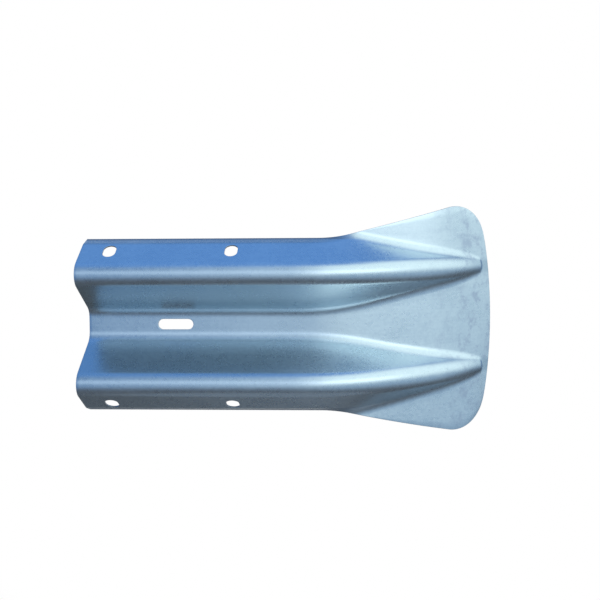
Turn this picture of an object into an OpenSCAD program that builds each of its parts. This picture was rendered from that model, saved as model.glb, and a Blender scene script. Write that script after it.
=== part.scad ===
// End section of a two-wave crash barrier rail: one pressed, galvanised sheet.
// The rail section runs straight from its splice end, then its two crowns run out
// to rounded noses while the sheet widens into a fishtail and curls away from the road.
// Frame: +X along the rail towards the fishtail, road side -Y, +Z up.
// The origin is the centre of the post bolt slot, on the face that seats on the post.

/* [Sheet] */
// Thickness of the sheet
sheet_t = 2.67; // [2:0.01:4]

/* [Rail section] */
// Width of the rail over its two lips
rail_w = 311; // [308:1:320]
// Depth from the valley to the crowns, both on the road side
rail_depth = 82; // [76:1:88]
// Distance between the two crowns
crown_spacing = 192; // [188:1:196]
// Inside radius of the bends in the valley and at the crowns
bend_r = 24; // [20:1:28]
// Slope of the flanges, from the post face
flange_angle = 55; // [52:1:58]
// Length of the lip turned along each edge
lip_len = 26; // [20:0.5:27]
// Angle of the lip away from square to the post face
lip_angle = 18; // [15:1:20]
// Radius of the bend into the lip
lip_bend_r = 30; // [20:1:36]

/* [Bolt slots] */
// Length of a splice slot, across the flange
splice_slot_l = 31.5; // [26:0.5:33]
// Width of a splice slot, along the rail
splice_slot_w = 22.5; // [18:0.5:25]
// Distance of the splice slots from the rail's edge, across the rail
splice_slot_edge = 19.85; // [19:0.05:25]
// Distance of the first pair of splice slots from the splice end
splice_first = 52.5; // [45:0.1:60]
// Distance between the two pairs of splice slots
splice_pitch = 215.9; // [190:0.1:220]
// Length of the post bolt slot
post_slot_l = 64; // [50:1:76]
// Width of the post bolt slot
post_slot_w = 19; // [17:0.5:21]
// Distance of the post bolt slot from the splice end
post_slot_at = 158.75; // [140:0.25:180]

/* [Fishtail] */
// Length of the sheet along its centreline, from the splice end
sheet_l = 780; // [770:1:820]
// Distance from the splice end to where the edges start to spread
spread_start = 447; // [420:1:480]
// Angle at which each edge spreads
spread_angle = 13.2; // [8:0.1:16]
// Radius of the turn from the straight edge into the spreading one
spread_r = 250; // [150:10:400]
// Radius of the two corners
corner_r = 78; // [60:1:90]
// Radius of the rounded end edge
end_r = 625; // [500:5:900]

/* [Curl] */
// Distance from the splice end to where the sheet starts to curl back
curl_start = 410; // [380:1:450]
// Radius of the curl, on the road side of the valley
curl_r = 457; // [400:1:700]

/* [Crown run-out] */
// Distance from the splice end to where the crowns start to fall
fall_start = 380; // [370:1:400]
// Length over which the fall comes in softly
fall_ease = 130; // [80:1:160]
// How hollow the fall of the crowns is, 1 being straight
fall_power = 1.25; // [1:0.05:1.4]
// Distance from the tips of the noses to the middle of the end edge
nose_gap = 22.5; // [20:0.5:40]
// Height of the noses where their rounded ends begin
nose_h = 3; // [1:0.5:5]
// Length of the rounded ends of the noses
nose_l = 9; // [8:1:20]

/* [Smoothness] */
// Facets around each bend
bend_steps = 6; // [4:1:6]
// Spacing of the cross-sections along the run-out
ring_pitch = 11; // [10:1:24]

/* [Hidden] */
$fn = 48;

half_w = rail_w / 2;
crown_z = crown_spacing / 2;
crown_r = bend_r + sheet_t;
bends = bend_r + crown_r;
through = 40;

// The lip covers this much of the width, and its bend this much on either side of its start.
lip_w = lip_len * sin(lip_angle);
lip_round = lip_bend_r * (cos(lip_angle) - sin(flange_angle)) / 2;

// Outline of the flat sheet at the fishtail: centre of the end edge, then of the corner.
end_c = sheet_l - end_r;
spread = tan(spread_angle);
corner_off = half_w - spread * spread_start - corner_r / cos(spread_angle);
corner_b = spread * corner_off - end_c;
corner_s = (-corner_b + sqrt(corner_b * corner_b
    - (1 + spread * spread) * (end_c * end_c + corner_off * corner_off - pow(end_r - corner_r, 2))))
    / (1 + spread * spread);
corner_z = spread * corner_s + corner_off;
corner_angle = atan2(corner_z, corner_s - end_c);
corner_end_s = end_c + end_r * cos(corner_angle);
nose_clear = 3;
nose_tip = min(sheet_l - nose_gap, corner_end_s - nose_clear);
spread_t = spread_r * tan(spread_angle / 2);

// ---- Plan of the sheet: s runs along its centreline, z across it ----

// Half of the sheet's width at s, up to where the corner meets the end edge.
function edge_z(s) =
    s <= spread_start - spread_t ? half_w :
    s <= spread_start - spread_t + spread_r * sin(spread_angle) ?
        half_w + spread_r - sqrt(pow(spread_r, 2) - pow(s - spread_start + spread_t, 2)) :
    s <= corner_s - corner_r * sin(spread_angle) ? half_w + spread * (s - spread_start) :
    corner_z + sqrt(max(0, pow(corner_r, 2) - pow(s - corner_s, 2)));

// Position of the end edge at z.
function end_s(z) = end_c + sqrt(end_r * end_r - z * z);

// ---- Cross-section: height above the valley's road side ----

function smooth(x) = let (t = max(0, min(1, x))) t * t * (3 - 2 * t);
function eased(x) = x <= 0 ? 0 : x < fall_ease ? x * x / (2 * fall_ease) : x - fall_ease / 2;
function crest_h(s) =
    let (left = max(0, 1 - eased(s - fall_start) / eased(nose_tip - fall_start)))
    (nose_h + (rail_depth - nose_h) * pow(left, fall_power))
        * (1 - smooth((s - nose_tip) / nose_l + 1));

// Each flank of a wave is a crown arc, a straight flange tangent to it, and a foot arc. The arcs
// keep their radii while the crown falls; the flange keeps its slope until it has nearly run out,
// and from there on the arcs turn less and less. It is [reach, height, slope].
flange_share = 0.05;
function flank(h) =
    let (slope = min(flange_angle, acos(1 - (1 - flange_share) * max(0, h) / bends)))
    h < 0.01 ? [0, 0, 0] :
    [bends * sin(slope) + (h - bends * (1 - cos(slope))) / tan(slope), h, slope];

function flank_h(f, x) =
    x >= f[0] ? 0 :
    x <= crown_r * sin(f[2]) ? f[1] - crown_r + sqrt(crown_r * crown_r - x * x) :
    x >= f[0] - bend_r * sin(f[2]) ? bend_r - sqrt(bend_r * bend_r - pow(f[0] - x, 2)) :
    f[1] - crown_r * (1 - cos(f[2])) - (x - crown_r * sin(f[2])) * tan(f[2]);

// The rail's edge stands this far above the valley. The lip keeps it there until the edge lies
// lower by itself, and the wings start at that height and come down with the crowns.
lip_edge_h = flank_h(flank(rail_depth), half_w - lip_w - crown_z) - lip_len * cos(lip_angle);
wing_hold = 4;
function wing_h(h) = max(0, lip_edge_h) * (1 - pow(1 - h / rail_depth, wing_hold));

// A cross-section is [inner flank, outer flank, wing height, half width, extra slope of the lip].
function section(s) =
    let (h = crest_h(s), wing = wing_h(h), outer = flank(h - wing), w = edge_z(s))
    [flank(h), outer, wing, w,
        max(0, wing + flank_h(outer, w - crown_z) - lip_edge_h) / lip_w];

function lip_drop(c, z) =
    let (x = z - c[3] + lip_w)
    x <= -lip_round ? 0 : x < lip_round ? c[4] * pow(x + lip_round, 2) / (4 * lip_round) : c[4] * x;

function height(c, z) =
    (z < crown_z ? flank_h(c[0], crown_z - z) : c[2] + flank_h(c[1], z - crown_z)) - lip_drop(c, z);

// ---- Places of the lines that run along the sheet ----

valley_steps = 2;
wing_steps = 3;
nose_min = 16;
wing_min = 6;
foot_min = 4;
open_lead = 20;
open_l = 90;

// Offsets from the crest, as shares of the flank's reach. Where there is no wave left, each arc's
// lines are spread evenly over its share.
flat_share = 0.45;
function crown_shares(f) = [for (i = [1:bend_steps])
    f[0] < 1 ? flat_share * i / bend_steps : crown_r * sin(f[2] * i / bend_steps) / f[0]];
function foot_shares(f) = [for (i = [bend_steps:-1:0])
    f[0] < 1 ? 1 - flat_share * i / bend_steps : 1 - bend_r * sin(f[2] * i / bend_steps) / f[0]];

function steps(a, b, n, first = 1) = [for (i = [first:n]) a + (b - a) * i / n];

// From the centreline to the crest.
function inner_lines(c) =
    let (reach = max(c[0][0], nose_min), foot = foot_shares(c[0]), crown = crown_shares(c[0]))
    concat(
        steps(0, crown_z - reach, valley_steps, 0),
        [for (i = [bend_steps - 1:-1:0]) crown_z - reach * foot[i]],
        [for (i = [bend_steps - 1:-1:0]) crown_z - reach * crown[i]],
        [crown_z]);

// From the crest to the edge. The foot's lines start round the lip's bend on the rail and move
// to the foot where the wing opens.
function outer_lines(c, s) =
    let (
        reach = max(c[1][0], nose_min),
        side = c[3] - crown_z,
        wing = min(reach, side - wing_min),
        foot = [for (x = foot_shares(c[1])) reach * x],
        foot_from = min(foot[0], wing - foot_min),
        open = smooth((s - spread_start + open_lead) / open_l),
        lip = side - lip_w,
        on_rail = concat(steps(lip - lip_round, lip + lip_round, bend_steps, 0),
            steps(lip + lip_round, side, wing_steps)),
        scale = (wing - foot_from) / (reach - foot[0]),
        on_wing = concat([for (x = foot) foot_from + (x - foot[0]) * scale],
            steps(wing, side, wing_steps))
    )
    concat([for (x = crown_shares(c[1])) crown_z + reach * x],
        [for (i = [0:len(on_rail) - 1]) crown_z + on_rail[i] * (1 - open) + on_wing[i] * open]);

function half_lines(c, s) = concat(inner_lines(c), outer_lines(c, s));

// ---- Cross-sections, from the splice end to the end edge ----

nose_turn = asin((nose_tip - corner_s) / corner_r);
nose_rings = 8;
run_start = min(fall_start, curl_start, spread_start - spread_t);
run_rings = ceil((corner_s - run_start) / ring_pitch);
stations = concat([0], steps(run_start, corner_s, run_rings, 0),
    [for (i = [1:nose_rings]) corner_s + corner_r * sin(nose_turn * i / nose_rings)],
    [corner_end_s]);

// A point of the sheet, at height n over the valley's road side.
function place(s, z, n) =
    let (turn = max(0, s - curl_start) / curl_r * 180 / PI, r = curl_r + n)
    s <= curl_start ? [s - post_slot_at, -n - sheet_t, z] :
    [curl_start - post_slot_at + r * sin(turn), curl_r - r * cos(turn) - sheet_t, z];

// The same point moved through the sheet to its other side.
function place_back(s, z, n, slope_s, slope_z) =
    let (
        turn = max(0, s - curl_start) / curl_r * 180 / PI,
        lean = slope_s / (1 + n / curl_r),
        size = norm([lean, slope_z, 1]),
        out = 1 / size, along = -lean / size, across = -slope_z / size
    )
    place(s, z, n) - sheet_t * [
        along * cos(turn) + out * sin(turn),
        along * sin(turn) - out * cos(turn),
        across];

function mirrored(side) = concat(
    [for (i = [len(side) - 1:-1:1]) [side[i][0], side[i][1], -side[i][2]]], side);

function ring(s, back) =
    let (
        c = section(s), lines = half_lines(c, s), last = len(lines) - 1,
        before = section(s - 1), after = section(s + 1),
        ds = 1, dz = 0.2
    )
    mirrored([for (i = [0:last])
        let (z = lines[i], n = height(c, z))
        !back ? place(s, z, n) :
        n == 0 ? place(s, z, -sheet_t) :
        place_back(s, z, n,
            i == last ? 0 : (height(after, z) - height(before, z)) / (2 * ds),
            i == 0 ? 0 : i == last ? (n - height(c, z - dz)) / dz :
                (height(c, z + dz) - height(c, z - dz)) / (2 * dz))]);

function end_ring(back) =
    let (c = section(corner_end_s), lines = half_lines(c, corner_end_s))
    mirrored([for (z = lines) place(end_s(z), z, back ? -sheet_t : 0)]);

module formed_sheet() {
    fronts = concat([for (s = stations) ring(s, false)], [end_ring(false)]);
    backs = concat([for (s = stations) ring(s, true)], [end_ring(true)]);
    rows = len(fronts);
    cols = len(fronts[0]);
    mid = (cols - 1) / 2;
    points = concat([for (r = fronts) each r], [for (r = backs) each r]);

    // The end edge shares its two outermost points with the ring before it.
    function at(side, i, j) = side * rows * cols
        + (i == rows - 1 && (j == 0 || j == cols - 1) ? i - 1 : i) * cols + j;
    function split(a, b, c, d, flip) = flip ? [[a, b, d], [b, c, d]] : [[a, b, c], [a, c, d]];

    skin = [for (i = [0:rows - 2], j = [0:cols - 2])
        each concat(
            split(at(0, i, j), at(0, i + 1, j), at(0, i + 1, j + 1), at(0, i, j + 1), j < mid),
            split(at(1, i, j + 1), at(1, i + 1, j + 1), at(1, i + 1, j), at(1, i, j), j < mid))];
    ends = [for (j = [0:cols - 2])
        each concat(
            split(at(0, 0, j), at(0, 0, j + 1), at(1, 0, j + 1), at(1, 0, j), false),
            split(at(0, rows - 1, j + 1), at(0, rows - 1, j), at(1, rows - 1, j),
                at(1, rows - 1, j + 1), false))];
    edges = [for (i = [0:rows - 2])
        each concat(
            split(at(0, i + 1, 0), at(0, i, 0), at(1, i, 0), at(1, i + 1, 0), false),
            split(at(0, i, cols - 1), at(0, i + 1, cols - 1), at(1, i + 1, cols - 1),
                at(1, i, cols - 1), false))];
    polyhedron(points, [for (f = concat(skin, ends, edges))
        if (f[0] != f[1] && f[1] != f[2] && f[0] != f[2]) f], convexity = 8);
}

// A slot with round ends through the origin, long way along X and axis along Z.
module slot(length, width) {
    for (x = [-1, 1]) translate([x * (length - width) / 2, 0, -through / 2])
        cylinder(h = through, r = width / 2);
    translate([-(length - width) / 2, -width / 2, -through / 2])
        cube([length - width, width, through]);
}

module post_slot() {
    rotate([90, 0, 0]) slot(post_slot_l, post_slot_w);
}

module splice_slots() {
    z = half_w - splice_slot_edge;
    for (side = [0, 1], x = [splice_first, splice_first + splice_pitch])
        mirror([0, 0, side]) translate(place(x, z, height(section(0), z)))
            rotate([90 - flange_angle, 0, 0]) rotate([0, 0, 90])
                slot(splice_slot_l, splice_slot_w);
}

module terminal_sheet() {
    color([0.72, 0.76, 0.80]) difference() {
        formed_sheet();
        post_slot();
        splice_slots();
    }
}

terminal_sheet();
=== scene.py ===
"""Looks for a guardrail end section: one pressed, hot-dip galvanised sheet.

The sheet is built again from the same sizes as the CAD node, finely enough to
shade as a smooth pressing, and stands for that node. Sizes are in millimetres
until a point is placed, and the scene is in metres.
"""

import math
from types import SimpleNamespace

import bmesh
import bpy
import numpy as np
from mathutils import Matrix, Vector


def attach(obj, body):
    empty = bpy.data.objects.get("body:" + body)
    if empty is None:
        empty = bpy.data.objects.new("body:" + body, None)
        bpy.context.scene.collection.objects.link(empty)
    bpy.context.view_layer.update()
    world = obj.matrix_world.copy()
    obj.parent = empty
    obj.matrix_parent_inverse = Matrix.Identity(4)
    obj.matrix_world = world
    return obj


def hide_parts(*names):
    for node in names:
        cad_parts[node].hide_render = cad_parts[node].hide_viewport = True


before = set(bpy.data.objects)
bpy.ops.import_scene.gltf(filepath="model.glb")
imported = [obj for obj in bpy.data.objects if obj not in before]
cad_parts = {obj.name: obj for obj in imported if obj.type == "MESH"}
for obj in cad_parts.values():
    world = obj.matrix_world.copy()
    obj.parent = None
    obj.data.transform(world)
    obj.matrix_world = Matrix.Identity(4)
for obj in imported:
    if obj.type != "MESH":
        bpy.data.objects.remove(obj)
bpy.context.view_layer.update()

# ---- Sizes of the sheet, as in the part's source ----

SHEET_T = 2.67

RAIL_W, RAIL_DEPTH, CROWN_SPACING = 311.0, 82.0, 192.0
BEND_R, FLANGE = 24.0, math.radians(55)
LIP_LEN, LIP_ANGLE, LIP_BEND_R = 26.0, math.radians(18), 30.0

# Bolt slots: their size along the rail and across it on the sheet, and where they are.
SPLICE_SLOT, POST_SLOT = (22.5, 31.5), (64.0, 19.0)
SPLICE_SLOT_EDGE, SPLICE_FIRST, SPLICE_PITCH = 19.85, 52.5, 215.9
POST_SLOT_AT = 158.75

SHEET_L = 780.0
SPREAD_START, SPREAD_ANGLE, SPREAD_R = 447.0, math.radians(13.2), 250.0
CORNER_R, END_R = 78.0, 625.0
CURL_START, CURL_R = 410.0, 457.0

FALL_START, FALL_EASE, FALL_POWER = 380.0, 130.0, 1.25
NOSE_GAP, NOSE_H, NOSE_L = 22.5, 3.0, 9.0
FLAT_SHARE = 0.05  # least part of a flank's fall that stays straight
WING_HOLD = 4  # how long the wings keep the lips' height while the crowns fall

# ---- Places worked out from them ----

HALF_W, CREST_Z = RAIL_W / 2, CROWN_SPACING / 2
SPLICE_Z = HALF_W - SPLICE_SLOT_EDGE
CROWN_R = BEND_R + SHEET_T
BENDS = BEND_R + CROWN_R
NOSE_TIP = SHEET_L - NOSE_GAP
LIP_W = LIP_LEN * math.sin(LIP_ANGLE)
LIP_ROUND = LIP_BEND_R * (math.cos(LIP_ANGLE) - math.sin(FLANGE)) / 2
SPREAD = math.tan(SPREAD_ANGLE)
SPREAD_TURN = SPREAD_START - SPREAD_R * math.tan(SPREAD_ANGLE / 2)
END_C = SHEET_L - END_R  # centre of the end edge's arc


def corner_centre():
    """Centre of the arc that joins the spreading edge to the end edge."""
    off = HALF_W - SPREAD * SPREAD_START - CORNER_R / math.cos(SPREAD_ANGLE)
    b = SPREAD * off - END_C
    k = 1 + SPREAD * SPREAD
    s = (-b + math.sqrt(b * b - k * (END_C**2 + off * off - (END_R - CORNER_R) ** 2))) / k
    return s, SPREAD * s + off


CORNER_S, CORNER_Z = corner_centre()
CORNER_END_S = END_C + END_R * math.cos(math.atan2(CORNER_Z, CORNER_S - END_C))

# ---- Form of the sheet, on whole arrays: s along its centreline, z across ----


def edge_z(s):
    """Half of the sheet's width at s."""
    return np.select(
        [
            s <= SPREAD_TURN,
            s <= SPREAD_TURN + SPREAD_R * math.sin(SPREAD_ANGLE),
            s <= CORNER_S - CORNER_R * math.sin(SPREAD_ANGLE),
        ],
        [
            HALF_W + 0 * s,
            HALF_W + SPREAD_R - np.sqrt(np.maximum(0, SPREAD_R**2 - (s - SPREAD_TURN) ** 2)),
            HALF_W + SPREAD * (s - SPREAD_START),
        ],
        CORNER_Z + np.sqrt(np.maximum(0, CORNER_R**2 - (s - CORNER_S) ** 2)),
    )


def eased(x):
    """x with a soft start."""
    return np.where(x <= 0, 0, np.where(x < FALL_EASE, x * x / (2 * FALL_EASE), x - FALL_EASE / 2))


def smooth(x):
    """Smooth step from 0 to 1."""
    t = np.clip(x, 0, 1)
    return t * t * (3 - 2 * t)


def crest_h(s):
    """Height of the crowns at s."""
    left = np.maximum(0, 1 - eased(s - FALL_START) / eased(np.array(NOSE_TIP - FALL_START)))
    nose = 1 - smooth((s - NOSE_TIP) / NOSE_L + 1)
    return (NOSE_H + (RAIL_DEPTH - NOSE_H) * left**FALL_POWER) * nose


def flank(h):
    """Reach, height and slope of a side of a wave that falls by h."""
    h = np.maximum(h, 0.0001)
    slope = np.minimum(FLANGE, np.arccos(1 - (1 - FLAT_SHARE) * h / BENDS))
    reach = BENDS * np.sin(slope) + (h - BENDS * (1 - np.cos(slope))) / np.tan(slope)
    return reach, h, slope


def flank_h(side, x):
    """Height on a side of a wave at x from its crest: crown arc, straight flank, foot arc, floor."""
    reach, h, slope = side
    arc_end = CROWN_R * np.sin(slope)
    top = h - CROWN_R + np.sqrt(np.maximum(0, CROWN_R**2 - x * x))
    low = BEND_R - np.sqrt(np.maximum(0, BEND_R**2 - (reach - x) ** 2))
    mid = h - CROWN_R * (1 - np.cos(slope)) - (x - arc_end) * np.tan(slope)
    places = [x >= reach, x <= arc_end, x >= reach - BEND_R * np.sin(slope)]
    return np.select(places, [0 * x, top, low], mid)


LIP_EDGE_H = float(flank_h(flank(RAIL_DEPTH), HALF_W - LIP_W - CREST_Z)) - LIP_LEN * math.cos(LIP_ANGLE)


def wing_h(h):
    """Height of the wings beside a crown of height h."""
    return LIP_EDGE_H * (1 - (1 - h / RAIL_DEPTH) ** WING_HOLD)


def wave_h(s, z):
    """Height of the wave, without the lip."""
    h = crest_h(s)
    x = z - CREST_Z
    wing = wing_h(h)
    return np.where(x < 0, flank_h(flank(h), np.abs(x)), wing + flank_h(flank(h - wing), np.abs(x)))


def height(s, z):
    """Height of the road side above the valley's road side."""
    z = np.abs(z)
    w = edge_z(s)
    x = z - w + LIP_W
    steep = np.maximum(0, wave_h(s, w) - LIP_EDGE_H) / LIP_W
    bend = steep * (x + LIP_ROUND) ** 2 / (4 * LIP_ROUND)
    drop = np.where(x <= -LIP_ROUND, 0, np.where(x < LIP_ROUND, bend, steep * x))
    return wave_h(s, z) - drop


def curl(s):
    """Angle that the sheet has turned through at s."""
    return np.maximum(0, s - CURL_START) / CURL_R


def place(s, z, n):
    """Row frame, in metres, for a point at height n over the valley's road side."""
    turn = curl(s)
    r = CURL_R + n
    flat = s <= CURL_START
    x = np.where(flat, s, CURL_START + r * np.sin(turn)) - POST_SLOT_AT
    y = np.where(flat, -n, CURL_R - r * np.cos(turn)) - SHEET_T
    return np.stack([x, y, z + 0 * x], -1) / 1000


def normal(s, z):
    """Unit normal on the road side."""
    d = 0.05
    ds = (height(s + d, z) - height(s - d, z)) / (2 * d)
    dz = (height(s, z + d) - height(s, z - d)) / (2 * d)
    turn = curl(s)
    lean = -ds / (1 + height(s, z) / CURL_R)
    n = np.stack([lean * np.cos(turn) + np.sin(turn), lean * np.sin(turn) - np.cos(turn), -dz], -1)
    return n / np.linalg.norm(n, axis=-1, keepdims=True)


def surface(s, z, back=False):
    """Points of the sheet's road side, or of its back, in the row frame."""
    s, z = np.asarray(s), np.asarray(z)
    front = place(s, z, height(s, z))
    return front - normal(s, z) * SHEET_T / 1000 if back else front


# ---- Grid of the sheet ----

CROWN_N, FOOT_N, VALLEY_N, WEB_N, EDGE_N = 14, 9, 4, 8, 5  # steps across each stretch
SLOT_NEAR_N, SLOT_FAR_N = 3, 2  # steps from a crown to the block round its splice slot, and from there on
SLOT_N, SLOT_HALF = 10, 9.7  # steps and half width, across the rail, of the block round a splice slot
POST_MARGIN = 3.3  # from the post slot to the lines beside it
SLOT_MARGIN = 6.0  # from a slot to the cross-sections beside it
TURN_N = 34  # steps round a corner of the fishtail
OPEN_START, OPEN_L = SPREAD_START - 20, 90  # stretch where the lip's lines move over to the wing's
WAVE_MIN, FOOT_MIN, WING_MIN = 12.0, 5.0, 6.0  # least room for the lines of a wave, its foot and a wing
HAIR = 0.01


def between(a, b, n):
    """n even steps from a to b, without a."""
    return [a + (b - a) * i / n for i in range(1, n + 1)]


def spaced(*marks):
    """Points through (place, step) marks: each stretch is cut into steps of about that size."""
    out = [marks[0][0]]
    for (a, _), (b, step) in zip(marks, marks[1:]):
        out += between(a, b, max(1, round((b - a) / step)))
    return out


def stations():
    """Places of the cross-sections, with one a margin before and one a margin behind each slot."""
    first, second, post = (
        (at - length / 2 - SLOT_MARGIN, at + length / 2 + SLOT_MARGIN)
        for at, length in (
            (SPLICE_FIRST, SPLICE_SLOT[0]),
            (SPLICE_FIRST + SPLICE_PITCH, SPLICE_SLOT[0]),
            (POST_SLOT_AT, POST_SLOT[0]),
        )
    )
    straight = spaced(
        (0, 1),
        (first[0], 6),
        (first[1], 3.6),
        (post[0], 7),
        (post[1], 4.5),
        (second[0], 7),
        (second[1], 3.6),
        (CORNER_S, 3.6),
    )
    turn = [math.sin(math.pi / 2 * i / TURN_N) for i in range(1, TURN_N + 1)]
    return np.array(straight + [CORNER_S + (CORNER_END_S - CORNER_S) * t for t in turn])


def flank_lines(h):
    """Offsets from the crest of a crown arc's and a foot arc's lines."""
    reach, _, slope = (float(v) for v in flank(np.array(h)))
    wide = max(reach, WAVE_MIN) / reach
    crown = [CROWN_R * math.sin(slope * i / CROWN_N) * wide for i in range(1, CROWN_N + 1)]
    foot = [(reach - BEND_R * math.sin(slope * i / FOOT_N)) * wide for i in range(FOOT_N, -1, -1)]
    return crown, foot


def wing_lines(foot, edge):
    """Lines of the outer foot and of the wing beyond it, as offsets from the crest."""
    end = min(foot[-1], edge - WING_MIN)
    start = min(foot[0], end - FOOT_MIN)
    shrink = (end - start) / (foot[-1] - foot[0])
    return [start + (x - foot[0]) * shrink for x in foot] + between(end, edge, EDGE_N)


def lip_lines(edge):
    """Lines of the bend into the lip and of the lip, as offsets from the crest."""
    start, end = edge - LIP_W - LIP_ROUND, edge - LIP_W + LIP_ROUND
    return [start] + between(start, end, FOOT_N) + between(end, edge, EDGE_N)


def web_lines(s, start, end):
    """Lines of the outer flank in three stretches, the middle one round a splice slot."""
    low, high = SPLICE_Z - CREST_Z - SLOT_HALF, SPLICE_Z - CREST_Z + SLOT_HALF
    if s >= FALL_START:
        near = CROWN_R * math.sin(FLANGE)
        far = HALF_W - CREST_Z - LIP_W - LIP_ROUND
        low, high = (start + (end - start) * (x - near) / (far - near) for x in (low, high))
    near, far = between(start, low, SLOT_NEAR_N), between(high, end, SLOT_FAR_N)
    return near + between(low, high, SLOT_N) + far[:-1]


def half_lines(s):
    """Lines from the centreline to the edge, the same number at every station."""
    h = float(crest_h(np.array(s)))
    crown, foot = flank_lines(h)
    floor_w = CREST_Z - foot[-1]
    inner = [0.0] + between(0.0, floor_w, VALLEY_N)
    inner += [CREST_Z - x for x in reversed(foot[:-1])]
    inner += [CREST_Z - x for x in between(foot[0], crown[-1], WEB_N)[:-1]]
    inner += [CREST_Z - x for x in reversed(crown)]

    crown, foot = flank_lines(h - float(wing_h(h)))
    edge = float(edge_z(np.array(s))) - CREST_Z
    opened = float(smooth((s - OPEN_START) / OPEN_L))
    outer = [a + (b - a) * opened for a, b in zip(lip_lines(edge), wing_lines(foot, edge))]
    web = web_lines(s, crown[-1], outer[0])
    return inner + [CREST_Z + x for x in [0.0] + crown + web + outer]


def grid():
    """Arrays s and z of every grid point. The last rings bow to meet the end edge."""
    rows_s = stations()
    z = []
    for s in rows_s:
        half = half_lines(min(s, NOSE_TIP))
        scale = float(edge_z(np.array(s))) / half[-1]
        half = [v * (1 + (scale - 1) * (v / half[-1]) ** 2) for v in half]
        z.append([-v for v in reversed(half[1:])] + half)
    z = np.array(z)
    s = np.repeat(rows_s[:, None], z.shape[1], 1)
    bow = np.clip((rows_s - CORNER_S) / (CORNER_END_S - CORNER_S), 0, 1)[:, None] ** 2
    edge = edge_z(rows_s)[:, None]
    s = s + bow * (np.sqrt(END_R**2 - z**2) - np.sqrt(END_R**2 - edge**2))
    return s, z


# ---- Mesh of the sheet ----

ROUND = 0.45  # radius of the zinc-softened edges
EDGE_STEPS = 3  # steps round such an edge
SLOT_STEPS = 3  # rings of cells round a slot


class Skin:
    """Collects the points and faces of the closed sheet, and where each lies on the sheet."""

    def __init__(self):
        self.points, self.flat, self.rim, self.faces = [], [], [], []

    def add(self, p, s, z, rim=0.0):
        self.points.append(tuple(p))
        self.flat.append((float(s), float(z)))
        self.rim.append(rim)
        return len(self.points) - 1

    def join(self, a, b, flip):
        """Faces between two loops of as many points."""
        for i in range(len(a)):
            j = (i + 1) % len(a)
            face = (a[i], a[j], b[j], b[i])
            self.faces.append(face[::-1] if flip else face)


def outward(skin, front, back, inward):
    """Unit vectors square to an edge loop and away from the sheet. inward[i] points into it."""
    out = []
    for k, point in enumerate(front):
        before = Vector(skin.points[front[k - 1]])
        after = Vector(skin.points[front[(k + 1) % len(front)]])
        through = Vector(skin.points[back[k]]) - Vector(skin.points[point])
        way = (after - before).cross(through).normalized()
        out.append(-way if way.dot(inward[k]) > 0 else way)
    return out


def softened(skin, ids, corners, through, out, k):
    """Ring of new points, k steps round the softened edge that starts at a loop."""
    r = ROUND / 1000
    a = math.pi / 2 * k / EDGE_STEPS
    ring = []
    for point, corner, t, o in zip(ids, corners, through, out):
        p = corner + t * r * (1 - math.cos(a)) - o * r * (1 - math.sin(a))
        ring.append(skin.add(p, *skin.flat[point], rim=k / EDGE_STEPS))
    return ring


def close_edge(skin, front, back, out):
    """Closes the wall between a front and a back loop of points, with both of its edges softened."""
    corners_f = [Vector(skin.points[i]) for i in front]
    corners_b = [Vector(skin.points[i]) for i in back]
    inward = [(b - f).normalized() for f, b in zip(corners_f, corners_b)]
    for ids, corners in ((front, corners_f), (back, corners_b)):
        for point, corner, o in zip(ids, corners, out):
            skin.points[point] = tuple(corner - o * ROUND / 1000)
    steps = range(1, EDGE_STEPS + 1)
    loops = [front]
    loops += [softened(skin, front, corners_f, inward, out, k) for k in steps]
    loops += [softened(skin, back, corners_b, [-v for v in inward], out, k) for k in reversed(steps)]
    loops += [back]
    for a, b in zip(loops, loops[1:]):
        skin.join(a, b, True)


def obround(length, width, angle):
    """Point on a round-ended slot's outline in the direction of angle."""
    if width > length:
        return obround(width, length, math.pi / 2 - angle)[::-1]
    r, half = width / 2, (length - width) / 2
    dx, dz = math.cos(angle), math.sin(angle)
    if abs(dx) * r <= half * abs(dz):
        k = r / abs(dz)
        return dx * k, dz * k
    b = dx * math.copysign(half, dx)
    k = b + math.sqrt(b * b - half * half + r * r)
    return dx * k, dz * k


def slot_block(s, z, at_s, at_z, size):
    """First and last row and column of the block of cells that a slot takes."""
    reach = size[1] / 2 + POST_MARGIN if at_z == 0 else SLOT_HALF + HAIR
    rows = [i for i in range(s.shape[0]) if abs(s[i, 0] - at_s) <= size[0] / 2 + SLOT_MARGIN + HAIR]
    cols = [j for j in range(s.shape[1]) if abs(z[rows[0], j] - at_z) <= reach]
    return rows[0], rows[-1], cols[0], cols[-1]


def slot_border(i0, i1, j0, j1):
    """Grid points round such a block, in order."""
    border = [(i0, j) for j in range(j0, j1)] + [(i, j1) for i in range(i0, i1)]
    return border + [(i1, j) for j in range(j1, j0, -1)] + [(i, j0) for i in range(i1, i0, -1)]


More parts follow.
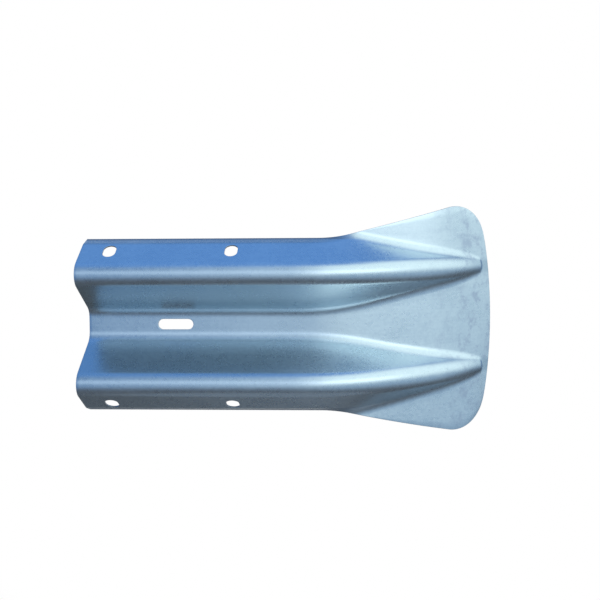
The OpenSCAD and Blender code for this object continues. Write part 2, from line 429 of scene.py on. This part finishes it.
def cut_slot(skin, ids, s, z, at_s, at_z, size, slope):
    """Opens the block of cells round a slot and joins its border to the slot's wall.
    ids are the grid's points on the front and on the back, slope the sheet's slope at the slot."""
    block = slot_block(s, z, at_s, at_z, size)
    border = slot_border(*block)
    shrink = math.cos(slope)
    outline = []
    for i, j in border:
        du, dv = obround(*size, math.atan2((z[i, j] - at_z) / shrink, s[i, j] - at_s))
        outline.append((at_s + du, at_z + dv * shrink))
    sides = []
    for is_back, side_ids in enumerate(ids):
        loop = [side_ids[i, j] for i, j in border]
        for k in range(1, SLOT_STEPS + 1):
            inner = []
            for (i, j), (to_s, to_z) in zip(border, outline):
                t = k / SLOT_STEPS
                here_s, here_z = s[i, j] + (to_s - s[i, j]) * t, z[i, j] + (to_z - z[i, j]) * t
                inner.append(skin.add(surface(here_s, here_z, is_back), here_s, here_z))
            skin.join(loop, inner, not is_back)
            loop = inner
        sides.append(loop)
    centre = Vector(surface(at_s, at_z).tolist())
    inward = [Vector(skin.points[point]) - centre for point in sides[0]]
    close_edge(skin, *sides, outward(skin, *sides, inward))
    return block


def cut_outside(skin, ids):
    """Closes the sheet's outer edge: splice end, upper edge, end edge, lower edge."""
    rows, cols = ids[0].shape
    loop = slot_border(0, rows - 1, 0, cols - 1)
    front, back = ([side[k] for k in loop] for side in ids)
    inward = []
    for i, j in loop:
        inside = ids[0][min(max(i, 1), rows - 2), min(max(j, 1), cols - 2)]
        inward.append(Vector(skin.points[inside]) - Vector(skin.points[ids[0][i, j]]))
    close_edge(skin, front, back, outward(skin, front, back, inward))


def sheet_skin():
    """The closed sheet: both sides, the slots and the edges."""
    skin = Skin()
    s, z = grid()
    rows, cols = s.shape
    ids = []
    for is_back in (False, True):
        points = surface(s, z, is_back)
        side = [[skin.add(points[i, j], s[i, j], z[i, j]) for j in range(cols)] for i in range(rows)]
        ids.append(np.array(side))
    holes = [
        cut_slot(skin, ids, s, z, at_s, at_z, SPLICE_SLOT, FLANGE)
        for at_s in (SPLICE_FIRST, SPLICE_FIRST + SPLICE_PITCH)
        for at_z in (-SPLICE_Z, SPLICE_Z)
    ]
    holes.append(cut_slot(skin, ids, s, z, POST_SLOT_AT, 0, POST_SLOT, 0))
    front, back = ids
    for i in range(rows - 1):
        for j in range(cols - 1):
            if any(i0 <= i < i1 and j0 <= j < j1 for i0, i1, j0, j1 in holes):
                continue
            skin.faces.append((front[i, j], front[i + 1, j], front[i + 1, j + 1], front[i, j + 1]))
            skin.faces.append((back[i, j], back[i, j + 1], back[i + 1, j + 1], back[i + 1, j]))
    cut_outside(skin, ids)
    return skin


def sheet_mesh():
    """Mesh of the sheet, which carries where each point lies on the sheet and how far into a cut edge."""
    skin = sheet_skin()
    mesh = bpy.data.meshes.new("galvanised_sheet")
    mesh.from_pydata(skin.points, [], [tuple(int(v) for v in f) for f in skin.faces])
    at = mesh.attributes.new("sheet_at", "FLOAT_VECTOR", "POINT")
    at.data.foreach_set("vector", [v for s, z in skin.flat for v in (s / 1000, z / 1000, 0)])
    mesh.attributes.new("rim", "FLOAT", "POINT").data.foreach_set("value", skin.rim)
    bm = bmesh.new()
    bm.from_mesh(mesh)
    bmesh.ops.delete(bm, geom=[v for v in bm.verts if not v.link_faces], context="VERTS")
    bmesh.ops.recalc_face_normals(bm, faces=bm.faces)
    open_edges = sum(1 for e in bm.edges if len(e.link_faces) != 2)
    print("sheet: faces", len(bm.faces), "open edges", open_edges)
    print("sheet: volume in cm3", round(bm.calc_volume() * 1e6, 1))
    bm.to_mesh(mesh)
    bm.free()
    mesh.shade_smooth()
    return mesh


# ---- Materials ----


class Nodes:
    """Short calls for building a node tree."""

    def __init__(self, tree):
        self.tree = tree

    def give(self, socket, value):
        """Links value to a socket, or sets it there if it is a constant."""
        if isinstance(value, bpy.types.NodeSocket):
            self.tree.links.new(value, socket)
        else:
            socket.default_value = value

    def new(self, kind, out=0, settings=None, **inputs):
        """Adds a node and returns one output. An input is given by its name, or as i0, i1 and so on."""
        node = self.tree.nodes.new("ShaderNode" + kind)
        for key, value in (settings or {}).items():
            setattr(node, key, value)
        for key, value in inputs.items():
            is_index = key[0] == "i" and key[1:].isdigit()
            self.give(node.inputs[int(key[1:]) if is_index else key], value)
        return node.outputs[out]

    def math(self, operation, a, b=0.0):
        return self.new("Math", settings={"operation": operation}, i0=a, i1=b)

    def product(self, first, *others):
        for other in others:
            first = self.math("MULTIPLY", first, other)
        return first

    def total(self, *weighed):
        """Sum of (value, weight) pairs."""
        parts = [self.math("MULTIPLY", value, weight) for value, weight in weighed]
        first = parts[0]
        for other in parts[1:]:
            first = self.math("ADD", first, other)
        return first

    def step(self, value, low, high, at_low, at_high):
        """Smooth step from at_low at low to at_high at high."""
        settings = {"interpolation_type": "SMOOTHSTEP"}
        return self.new("MapRange", settings=settings, i0=value, i1=low, i2=high, i3=at_low, i4=at_high)

    def rise(self, value, low, high):
        return self.step(value, low, high, 0.0, 1.0)

    def fall(self, value, low, high):
        return self.step(value, low, high, 1.0, 0.0)

    def band(self, value, low, full, full_end, high):
        """1 from full to full_end, and 0 below low and above high."""
        return self.product(self.rise(value, low, full), self.fall(value, full_end, high))

    def mix(self, factor, a, b):
        return self.new("Mix", out=2, settings={"data_type": "RGBA"}, i0=factor, i6=a, i7=b)

    def lay(self, colour, tint, where, strength=1.0):
        """Lays a tint over a colour, as far as where and strength say."""
        return self.mix(self.product(where, strength), colour, tint)

    def split(self, vector):
        return tuple(self.new("SeparateXYZ", Vector=vector).node.outputs)

    def stretched(self, vector, *scales):
        return self.new("VectorMath", settings={"operation": "MULTIPLY"}, i0=vector, i1=(*scales, 1.0))

    def noise(self, vector, scale, detail, roughness):
        return self.new("TexNoise", Vector=vector, Scale=scale, Detail=detail, Roughness=roughness)


def material(name):
    """A new material, its node calls and its shader's sockets."""
    mat = bpy.data.materials.new(name)
    mat.use_nodes = True
    return mat, Nodes(mat.node_tree), mat.node_tree.nodes["Principled BSDF"].inputs


ZINC_DULL, ZINC_BRIGHT = (0.63, 0.735, 0.80, 1), (0.77, 0.87, 0.915, 1)
# painted shade for the inner flanges inside the valley
VALLEY_SHADE = (0.40, 0.50, 0.53, 1)
SCUFF = (0.20, 0.24, 0.30, 1)
# mottled stains, and painted shade towards the end edge
BLOTCH_AND_END_SHADE = (0.42, 0.48, 0.61, 1)
# painted shade for the noses
NOSE_SHADE = (0.40, 0.51, 0.60, 1)
# grime along the lips' edges, and painted shade for the lower lip
DIRT_AND_SHADE = (0.18, 0.21, 0.26, 1)
CUT_EDGE = (0.30, 0.33, 0.36, 1)
CONCRETE_DARK, CONCRETE_LIGHT = (0.44, 0.375, 0.32, 1), (0.50, 0.425, 0.36, 1)


def zinc_patterns(n):
    """Position on the sheet, in metres, and the patterns that colour, roughness and relief share."""
    where = n.new("TexCoord", out=3)
    on_sheet = n.new("Attribute", out=1, settings={"attribute_name": "sheet_at"})
    along, up, _ = n.split(on_sheet)
    return SimpleNamespace(
        where=where,
        on_sheet=on_sheet,
        along=along,
        up=up,
        across=n.math("ABSOLUTE", up),
        cloud=n.noise(where, 11.0, 5.0, 0.6),
        grain=n.noise(where, 420.0, 3.0, 0.6),
        spangle=n.new("SeparateColor", Color=n.new("TexVoronoi", out=1, Vector=where, Scale=230.0)),
        streak=n.noise(n.stretched(on_sheet, 5.0, 260.0), 1.0, 4.0, 0.55),
    )


def clean_zinc(n, p):
    """Colour of clean zinc: clouding, spangle, rolling streaks and grain."""
    tone = n.total((p.cloud, 0.55), (p.spangle, 0.14), (p.streak, 0.22), (p.grain, 0.12))
    return n.mix(n.rise(tone, 0.25, 0.80), ZINC_DULL, ZINC_BRIGHT)


def painted_valley_shade(n, p):
    """Painted shade: the inner flanges, inside the valley between the crowns, are painted darker and
    greener, fading where the crowns start to fall.
    """
    return n.product(n.band(p.across, 0.022, 0.040, 0.072, 0.090), n.fall(p.along, 0.29, 0.49))


def scuffs(n, p):
    """Small smears where the crowns rub."""
    smear = n.rise(n.noise(n.stretched(p.on_sheet, 190.0, 420.0), 1.0, 3.0, 0.7), 0.58, 0.70)
    return n.product(smear, n.band(p.across, 0.080, 0.090, 0.094, 0.101), n.rise(p.cloud, 0.42, 0.56))


def blotches_and_end_shade(n, p):
    """Mottled stains towards the end edge, together with painted shade: the sheet is painted darker and
    bluer there.
    """
    return n.product(n.rise(n.noise(p.where, 38.0, 6.0, 0.7), 0.48, 0.66), n.rise(p.along, 0.58, 0.75))


def painted_nose_shade(n, p):
    """Painted shade: the noses are painted darker, so the crowns' highlight fades before their tips."""
    return n.product(n.band(p.across, 0.078, 0.088, 0.102, 0.112), n.rise(p.along, 0.685, 0.745))


def lip_dirt_and_shade(n, p):
    """A grimy line along each lip's edge, and painted shade over the whole lower lip, which is painted
    darker.
    """
    # painted shade: the whole lower lip is painted darker
    shaded_lower_lip = n.fall(p.up, -0.149, -0.147)
    dirt_and_shade = n.math("MAXIMUM", n.rise(p.across, 0.1515, 0.1545), shaded_lower_lip)
    return n.product(dirt_and_shade, n.fall(p.along, 0.44, 0.50))


def galvanised():
    """Hot-dip zinc on a sheet that has been rubbed, stained and cut, with painted shade in the valley, on
    the noses, on the lower lip and towards the end edge.
    """
    mat, n, shader = material("galvanised_steel")
    p = zinc_patterns(n)
    scuff, blotch_and_end_shade, dirt_and_shade = scuffs(n, p), blotches_and_end_shade(n, p), lip_dirt_and_shade(n, p)
    cut_edge = n.new("Attribute", out=2, settings={"attribute_name": "rim"})

    colour = clean_zinc(n, p)
    # painted shade: the valley's inner flanges are painted darker and greener
    colour = n.lay(colour, VALLEY_SHADE, painted_valley_shade(n, p), 0.50)
    colour = n.lay(colour, SCUFF, scuff, 0.55)
    # stains and painted shade: darker and bluer towards the end edge
    colour = n.lay(colour, BLOTCH_AND_END_SHADE, blotch_and_end_shade, 0.60)
    # painted shade on the noses
    colour = n.lay(colour, NOSE_SHADE, painted_nose_shade(n, p), 0.60)
    # grime on the lips' edges, and painted shade on the lower lip
    colour = n.lay(colour, DIRT_AND_SHADE, dirt_and_shade, 0.70)
    colour = n.lay(colour, CUT_EDGE, cut_edge)

    wear = ((blotch_and_end_shade, 0.10), (scuff, 0.10), (dirt_and_shade, 0.30))
    rough = n.total((p.cloud, 0.12), (p.streak, 0.06), (p.spangle, 0.05), *wear)
    relief = n.total((p.grain, 0.6), (p.spangle, 0.4))

    shader["Metallic"].default_value = 1.0
    n.give(shader["Base Color"], colour)
    n.give(shader["Roughness"], n.math("ADD", rough, 0.18))
    n.give(shader["Normal"], n.new("Bump", Height=relief, Strength=0.20, Distance=0.0003))
    return mat


def concrete():
    mat, n, shader = material("floor_concrete")
    speck = n.new("TexNoise", Vector=n.new("TexCoord", out=3), Scale=60.0, Detail=4.0)
    n.give(shader["Base Color"], n.mix(speck, CONCRETE_DARK, CONCRETE_LIGHT))
    shader["Roughness"].default_value = 0.9
    return mat


# ---- Stage ----

FLOOR_AT, FLOOR_R = (0.2, 0, -1.2), 0.6
LAMP_AIM, LAMP_FAR = Vector((0.25, 0, 0)), 3.2
LAMP_AZ, LAMP_EL = math.radians(35), math.radians(11)
LAMP_W, LAMP_H, LAMP_WATTS = 3.7, 1.1, 6.0

SKY_LOW, SKY_HIGH = (0.10, 0.21, 0.42, 1), (0.14, 0.32, 0.70, 1)
HAZE, GLOW = (0.97, 1.12, 1.15, 1), (1.0, 1.2, 1.45, 1)
GROUND_DARK, GROUND_LIT = (0.10, 0.11, 0.13, 1), (0.32, 0.44, 0.58, 1)
GROUND_BEHIND, WHITE = (0.09, 0.10, 0.115, 1), (1.0, 1.0, 1.0, 1)


def floor():
    """A round concrete floor below the camera's view."""
    bpy.ops.mesh.primitive_circle_add(vertices=96, radius=FLOOR_R, fill_type="NGON", location=FLOOR_AT)
    disc = bpy.context.object
    disc.name = "floor"
    disc.data.materials.append(concrete())


def softbox():
    """A broad, weak lamp to the right of the camera: the bright lines along the bends."""
    lamp = bpy.data.lights.new("softbox", "AREA")
    lamp.shape = "RECTANGLE"
    lamp.size, lamp.size_y = LAMP_W, LAMP_H
    lamp.energy = LAMP_WATTS
    box = bpy.data.objects.new("softbox", lamp)
    bpy.context.scene.collection.objects.link(box)
    level = math.cos(LAMP_EL)
    way = Vector((math.sin(LAMP_AZ) * level, -math.cos(LAMP_AZ) * level, math.sin(LAMP_EL)))
    box.location = LAMP_AIM + way * LAMP_FAR
    box.rotation_euler = way.to_track_quat("Z", "Y").to_euler()


def sky():
    """Daylight: bright haze to the right, blue to the left and overhead, slate ground, white behind.
    x, y and z point where a ray goes, and side is its bearing from straight out of the road side."""
    world = bpy.data.worlds.new("sky")
    bpy.context.scene.world = world
    world.use_nodes = True
    n = Nodes(world.node_tree)
    x, y, z = n.split(n.new("TexCoord"))
    side = n.math("ARCTAN2", x, n.math("MULTIPLY", y, -1.0))
    right = n.band(side, -0.58, 0.55, 1.75, 2.3)

    colour = n.mix(n.rise(z, 0.60, 0.95), SKY_LOW, SKY_HIGH)
    colour = n.lay(colour, HAZE, right, n.fall(z, 0.76, 0.97))
    glow = n.product(n.band(side, -0.95, -0.35, 0.2, 0.7), n.band(z, -0.05, 0.12, 0.30, 0.55))
    colour = n.lay(colour, GLOW, glow, 0.35)

    lit = n.product(right, n.rise(z, -0.92, -0.35))
    ground = n.mix(lit, GROUND_DARK, GROUND_LIT)
    level = n.math("SUBTRACT", z, n.product(right, 0.47))
    colour = n.mix(n.rise(level, -0.80, -0.26), ground, colour)
    colour = n.lay(colour, GROUND_BEHIND, n.rise(y, 0.0, 0.4), n.fall(z, -0.45, -0.1))
    colour = n.lay(colour, WHITE, n.rise(y, 0.72, 0.86), n.fall(z, 0.36, 0.56))

    background = world.node_tree.nodes["Background"].inputs
    n.give(background["Color"], colour)
    background["Strength"].default_value = 1.0


# ---- Camera, at the photograph's viewing angle ----

CAM_AT = Vector((0.36634, -1.64354, 0.22213))
CAM_YAW, CAM_PITCH, CAM_ROLL = math.radians(-2.9353), math.radians(2.5262), math.radians(0.4354)
CAM_LENS, CAM_SENSOR, CAM_SHIFT = 55.167, 36, (-0.05133, -0.09857)


def camera():
    data = bpy.data.cameras.new("camera")
    data.sensor_width = CAM_SENSOR
    data.lens = CAM_LENS
    data.shift_x, data.shift_y = CAM_SHIFT
    cam = bpy.data.objects.new("camera", data)
    bpy.context.collection.objects.link(cam)
    yaw, pitch = Matrix.Rotation(CAM_YAW, 3, "Y"), Matrix.Rotation(CAM_PITCH, 3, "X")
    turned = (Matrix.Rotation(CAM_ROLL, 3, "Z") @ pitch @ yaw).transposed()
    upright = Matrix.Rotation(math.radians(90), 3, "X")
    cam.matrix_world = Matrix.Translation(CAM_AT) @ (upright @ turned).to_4x4()
    bpy.context.scene.camera = cam


# ---- The scene ----


def terminal_sheet():
    sheet = bpy.data.objects.new("galvanised_sheet", sheet_mesh())
    bpy.context.collection.objects.link(sheet)
    sheet.data.materials.append(galvanised())
    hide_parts("terminal_sheet")
    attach(sheet, "root")


terminal_sheet()
floor()
softbox()
sky()
camera()
bpy.context.scene.view_settings.view_transform = "Standard"
